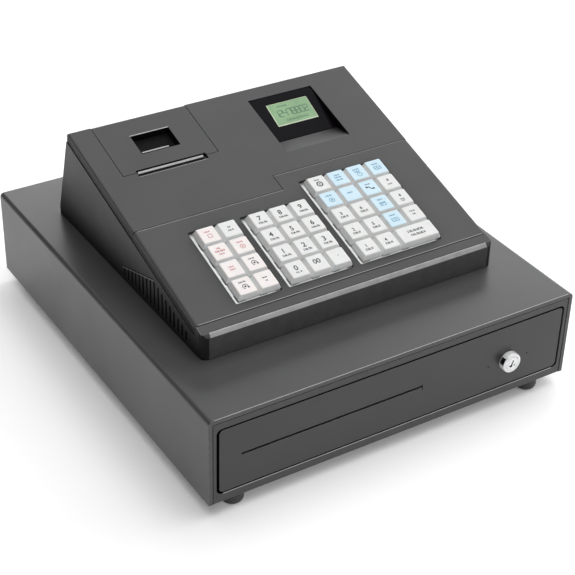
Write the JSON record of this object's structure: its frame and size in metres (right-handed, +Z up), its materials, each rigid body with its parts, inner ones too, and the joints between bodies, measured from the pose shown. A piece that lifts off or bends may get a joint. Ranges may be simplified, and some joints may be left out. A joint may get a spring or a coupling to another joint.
{
  "type": "cash register",
  "caption": "Electronic cash register: sloping keyboard and receipt printer case with a small display, on a steel cash drawer with a lock and a removable till.",
  "frame": {"origin": "on the counter, in the middle of the overall footprint (cabinet and lock)", "axes": "+X to the operator's right, +Y to the back, +Z up; the operator stands on the -Y side"},
  "size_m": [0.41, 0.4634, 0.2178],
  "materials": {
    "cabinet_paint": "dark grey powder coat, fine texture, satin",
    "drawer_paint": "dark grey powder coat, fine texture, satin",
    "drawer_steel": "zinc-plated sheet steel, dull",
    "case_plastic": "charcoal ABS with a fine spark-eroded grain",
    "tray_plastic": "white ABS",
    "bright_steel": "bright stamped steel",
    "display_glass": "smoked black acrylic, polished",
    "liquid_crystal": "backlit green liquid crystal behind clear glass",
    "lock_chrome": "bright nickel plate",
    "till_plastic": "black ABS",
    "clip_steel": "plated spring steel wire and strip",
    "platen_rubber": "ground black rubber",
    "foot_rubber": "moulded black rubber",
    "key_white": "white ABS keycap, satin",
    "key_warm_white": "white ABS keycap with a red legend, satin",
    "key_blue": "pale blue ABS keycap, satin"
  },
  "bodies": {
    "cabinet": {"cabinet_shell": "cabinet_paint", "front_bezel": "cabinet_paint", "foot_front_left": "foot_rubber", "foot_front_right": "foot_rubber", "foot_rear_left": "foot_rubber", "foot_rear_right": "foot_rubber", "register_base": "case_plastic", "top_cover": "case_plastic", "keyboard_panel": "case_plastic", "key_frame": "tray_plastic", "tear_bar": "bright_steel", "display_window": "display_glass", "lcd_panel": "liquid_crystal"},
    "drawer": {"drawer_box": "drawer_steel", "drawer_front": "drawer_paint", "lock_housing": "lock_chrome", "till_insert": "till_plastic"},
    "lock_plug": {"lock_cylinder": "lock_chrome"},
    "bill_clip_bar": {"bill_clips": "clip_steel"},
    "printer_door": {"printer_cover": "case_plastic"},
    "platen": {"platen_roller": "platen_rubber"},
    "key_paper_feed_cap": {"key_paper_feed": "key_warm_white"},
    "key_time_cap": {"key_time": "key_white"},
    "key_refund_cap": {"key_refund": "key_warm_white"},
    "key_void_cap": {"key_void": "key_warm_white"},
    "key_pay_out_cap": {"key_pay_out": "key_warm_white"},
    "key_return_cap": {"key_return": "key_warm_white"},
    "key_clear_cap": {"key_clear": "key_warm_white"},
    "key_no_sale_cap": {"key_no_sale": "key_warm_white"},
    "key_7_cap": {"key_7": "key_white"},
    "key_8_cap": {"key_8": "key_white"},
    "key_9_cap": {"key_9": "key_white"},
    "key_4_cap": {"key_4": "key_white"},
    "key_5_cap": {"key_5": "key_white"},
    "key_6_cap": {"key_6": "key_white"},
    "key_1_cap": {"key_1": "key_white"},
    "key_2_cap": {"key_2": "key_white"},
    "key_3_cap": {"key_3": "key_white"},
    "key_0_cap": {"key_0": "key_white"},
    "key_00_cap": {"key_00": "key_white"},
    "key_point_cap": {"key_point": "key_white"},
    "key_clerk_cap": {"key_clerk": "key_white"},
    "key_coupon_cap": {"key_coupon": "key_blue"},
    "key_price_check_cap": {"key_price_check": "key_blue"},
    "key_currency_cap": {"key_currency": "key_blue"},
    "key_percent_cap": {"key_percent": "key_blue"},
    "key_plus_cap": {"key_plus": "key_blue"},
    "key_price_shift_cap": {"key_price_shift": "key_blue"},
    "key_page_up_cap": {"key_page_up": "key_white"},
    "key_dept_3_cap": {"key_dept_3": "key_white"},
    "key_dept_6_cap": {"key_dept_6": "key_white"},
    "key_card_cap": {"key_card": "key_blue"},
    "key_page_down_cap": {"key_page_down": "key_white"},
    "key_dept_2_cap": {"key_dept_2": "key_white"},
    "key_dept_5_cap": {"key_dept_5": "key_white"},
    "key_cheque_cap": {"key_cheque": "key_blue"},
    "key_subtotal_cap": {"key_subtotal": "key_white"},
    "key_dept_1_cap": {"key_dept_1": "key_white"},
    "key_dept_4_cap": {"key_dept_4": "key_white"},
    "key_cash_total_cap": {"key_cash_total": "key_white"}
  },
  "joints": [
    {"name": "drawer_slide", "type": "slide", "parent": "cabinet", "child": "drawer", "axis": [0, -1, 0], "range_m": [0, 0.33]},
    {"name": "lock_turn", "type": "hinge", "parent": "drawer", "child": "lock_plug", "pos_m": [0.13, -0.22, 0.0569], "axis": [0, -1, 0], "range_deg": [-90, 90]},
    {"name": "bill_clip_lift", "type": "hinge", "parent": "drawer", "child": "bill_clip_bar", "pos_m": [0, 0.15925, 0.0842], "axis": [-1, 0, 0], "range_deg": [0, 30], "stiffness_Nm_per_rad": 0.12, "springref_deg": -17.19},
    {"name": "printer_cover_hinge", "type": "hinge", "parent": "cabinet", "child": "printer_door", "pos_m": [0, 0.13028, 0.21427], "axis": [-1, 0, 0], "range_deg": [0, 75]},
    {"name": "platen_spin", "type": "hinge", "parent": "printer_door", "child": "platen", "pos_m": [-0.087, 0.06988, 0.19064], "axis": [1, 0, 0], "continuous": true},
    {"name": "key_paper_feed_press", "type": "slide", "parent": "cabinet", "child": "key_paper_feed_cap", "axis": [0, 0.2797, -0.9601], "range_m": [0, 0.0035], "stiffness_N_per_m": 170, "springref_m": -0.002},
    {"name": "key_time_press", "type": "slide", "parent": "cabinet", "child": "key_time_cap", "axis": [0, 0.2797, -0.9601], "range_m": [0, 0.0035], "stiffness_N_per_m": 170, "springref_m": -0.002},
    {"name": "key_refund_press", "type": "slide", "parent": "cabinet", "child": "key_refund_cap", "axis": [0, 0.2797, -0.9601], "range_m": [0, 0.0035], "stiffness_N_per_m": 170, "springref_m": -0.002},
    {"name": "key_void_press", "type": "slide", "parent": "cabinet", "child": "key_void_cap", "axis": [0, 0.2797, -0.9601], "range_m": [0, 0.0035], "stiffness_N_per_m": 170, "springref_m": -0.002},
    {"name": "key_pay_out_press", "type": "slide", "parent": "cabinet", "child": "key_pay_out_cap", "axis": [0, 0.2797, -0.9601], "range_m": [0, 0.0035], "stiffness_N_per_m": 170, "springref_m": -0.002},
    {"name": "key_return_press", "type": "slide", "parent": "cabinet", "child": "key_return_cap", "axis": [0, 0.2797, -0.9601], "range_m": [0, 0.0035], "stiffness_N_per_m": 170, "springref_m": -0.002},
    {"name": "key_clear_press", "type": "slide", "parent": "cabinet", "child": "key_clear_cap", "axis": [0, 0.2797, -0.9601], "range_m": [0, 0.0035], "stiffness_N_per_m": 170, "springref_m": -0.002},
    {"name": "key_no_sale_press", "type": "slide", "parent": "cabinet", "child": "key_no_sale_cap", "axis": [0, 0.2797, -0.9601], "range_m": [0, 0.0035], "stiffness_N_per_m": 170, "springref_m": -0.002},
    {"name": "key_7_press", "type": "slide", "parent": "cabinet", "child": "key_7_cap", "axis": [0, 0.2797, -0.9601], "range_m": [0, 0.0035], "stiffness_N_per_m": 170, "springref_m": -0.002},
    {"name": "key_8_press", "type": "slide", "parent": "cabinet", "child": "key_8_cap", "axis": [0, 0.2797, -0.9601], "range_m": [0, 0.0035], "stiffness_N_per_m": 170, "springref_m": -0.002},
    {"name": "key_9_press", "type": "slide", "parent": "cabinet", "child": "key_9_cap", "axis": [0, 0.2797, -0.9601], "range_m": [0, 0.0035], "stiffness_N_per_m": 170, "springref_m": -0.002},
    {"name": "key_4_press", "type": "slide", "parent": "cabinet", "child": "key_4_cap", "axis": [0, 0.2797, -0.9601], "range_m": [0, 0.0035], "stiffness_N_per_m": 170, "springref_m": -0.002},
    {"name": "key_5_press", "type": "slide", "parent": "cabinet", "child": "key_5_cap", "axis": [0, 0.2797, -0.9601], "range_m": [0, 0.0035], "stiffness_N_per_m": 170, "springref_m": -0.002},
    {"name": "key_6_press", "type": "slide", "parent": "cabinet", "child": "key_6_cap", "axis": [0, 0.2797, -0.9601], "range_m": [0, 0.0035], "stiffness_N_per_m": 170, "springref_m": -0.002},
    {"name": "key_1_press", "type": "slide", "parent": "cabinet", "child": "key_1_cap", "axis": [0, 0.2797, -0.9601], "range_m": [0, 0.0035], "stiffness_N_per_m": 170, "springref_m": -0.002},
    {"name": "key_2_press", "type": "slide", "parent": "cabinet", "child": "key_2_cap", "axis": [0, 0.2797, -0.9601], "range_m": [0, 0.0035], "stiffness_N_per_m": 170, "springref_m": -0.002},
    {"name": "key_3_press", "type": "slide", "parent": "cabinet", "child": "key_3_cap", "axis": [0, 0.2797, -0.9601], "range_m": [0, 0.0035], "stiffness_N_per_m": 170, "springref_m": -0.002},
    {"name": "key_0_press", "type": "slide", "parent": "cabinet", "child": "key_0_cap", "axis": [0, 0.2797, -0.9601], "range_m": [0, 0.0035], "stiffness_N_per_m": 170, "springref_m": -0.002},
    {"name": "key_00_press", "type": "slide", "parent": "cabinet", "child": "key_00_cap", "axis": [0, 0.2797, -0.9601], "range_m": [0, 0.0035], "stiffness_N_per_m": 170, "springref_m": -0.002},
    {"name": "key_point_press", "type": "slide", "parent": "cabinet", "child": "key_point_cap", "axis": [0, 0.2797, -0.9601], "range_m": [0, 0.0035], "stiffness_N_per_m": 170, "springref_m": -0.002},
    {"name": "key_clerk_press", "type": "slide", "parent": "cabinet", "child": "key_clerk_cap", "axis": [0, 0.2797, -0.9601], "range_m": [0, 0.0035], "stiffness_N_per_m": 170, "springref_m": -0.002},
    {"name": "key_coupon_press", "type": "slide", "parent": "cabinet", "child": "key_coupon_cap", "axis": [0, 0.2797, -0.9601], "range_m": [0, 0.0035], "stiffness_N_per_m": 170, "springref_m": -0.002},
    {"name": "key_price_check_press", "type": "slide", "parent": "cabinet", "child": "key_price_check_cap", "axis": [0, 0.2797, -0.9601], "range_m": [0, 0.0035], "stiffness_N_per_m": 170, "springref_m": -0.002},
    {"name": "key_currency_press", "type": "slide", "parent": "cabinet", "child": "key_currency_cap", "axis": [0, 0.2797, -0.9601], "range_m": [0, 0.0035], "stiffness_N_per_m": 170, "springref_m": -0.002},
    {"name": "key_percent_press", "type": "slide", "parent": "cabinet", "child": "key_percent_cap", "axis": [0, 0.2797, -0.9601], "range_m": [0, 0.0035], "stiffness_N_per_m": 170, "springref_m": -0.002},
    {"name": "key_plus_press", "type": "slide", "parent": "cabinet", "child": "key_plus_cap", "axis": [0, 0.2797, -0.9601], "range_m": [0, 0.0035], "stiffness_N_per_m": 170, "springref_m": -0.002},
    {"name": "key_price_shift_press", "type": "slide", "parent": "cabinet", "child": "key_price_shift_cap", "axis": [0, 0.2797, -0.9601], "range_m": [0, 0.0035], "stiffness_N_per_m": 170, "springref_m": -0.002},
    {"name": "key_page_up_press", "type": "slide", "parent": "cabinet", "child": "key_page_up_cap", "axis": [0, 0.2797, -0.9601], "range_m": [0, 0.0035], "stiffness_N_per_m": 170, "springref_m": -0.002},
    {"name": "key_dept_3_press", "type": "slide", "parent": "cabinet", "child": "key_dept_3_cap", "axis": [0, 0.2797, -0.9601], "range_m": [0, 0.0035], "stiffness_N_per_m": 170, "springref_m": -0.002},
    {"name": "key_dept_6_press", "type": "slide", "parent": "cabinet", "child": "key_dept_6_cap", "axis": [0, 0.2797, -0.9601], "range_m": [0, 0.0035], "stiffness_N_per_m": 170, "springref_m": -0.002},
    {"name": "key_card_press", "type": "slide", "parent": "cabinet", "child": "key_card_cap", "axis": [0, 0.2797, -0.9601], "range_m": [0, 0.0035], "stiffness_N_per_m": 170, "springref_m": -0.002},
    {"name": "key_page_down_press", "type": "slide", "parent": "cabinet", "child": "key_page_down_cap", "axis": [0, 0.2797, -0.9601], "range_m": [0, 0.0035], "stiffness_N_per_m": 170, "springref_m": -0.002},
    {"name": "key_dept_2_press", "type": "slide", "parent": "cabinet", "child": "key_dept_2_cap", "axis": [0, 0.2797, -0.9601], "range_m": [0, 0.0035], "stiffness_N_per_m": 170, "springref_m": -0.002},
    {"name": "key_dept_5_press", "type": "slide", "parent": "cabinet", "child": "key_dept_5_cap", "axis": [0, 0.2797, -0.9601], "range_m": [0, 0.0035], "stiffness_N_per_m": 170, "springref_m": -0.002},
    {"name": "key_cheque_press", "type": "slide", "parent": "cabinet", "child": "key_cheque_cap", "axis": [0, 0.2797, -0.9601], "range_m": [0, 0.0035], "stiffness_N_per_m": 170, "springref_m": -0.002},
    {"name": "key_subtotal_press", "type": "slide", "parent": "cabinet", "child": "key_subtotal_cap", "axis": [0, 0.2797, -0.9601], "range_m": [0, 0.0035], "stiffness_N_per_m": 170, "springref_m": -0.002},
    {"name": "key_dept_1_press", "type": "slide", "parent": "cabinet", "child": "key_dept_1_cap", "axis": [0, 0.2797, -0.9601], "range_m": [0, 0.0035], "stiffness_N_per_m": 170, "springref_m": -0.002},
    {"name": "key_dept_4_press", "type": "slide", "parent": "cabinet", "child": "key_dept_4_cap", "axis": [0, 0.2797, -0.9601], "range_m": [0, 0.0035], "stiffness_N_per_m": 170, "springref_m": -0.002},
    {"name": "key_cash_total_press", "type": "slide", "parent": "cabinet", "child": "key_cash_total_cap", "axis": [0, 0.2797, -0.9601], "range_m": [0, 0.0035], "stiffness_N_per_m": 170, "springref_m": -0.002}
  ]
}
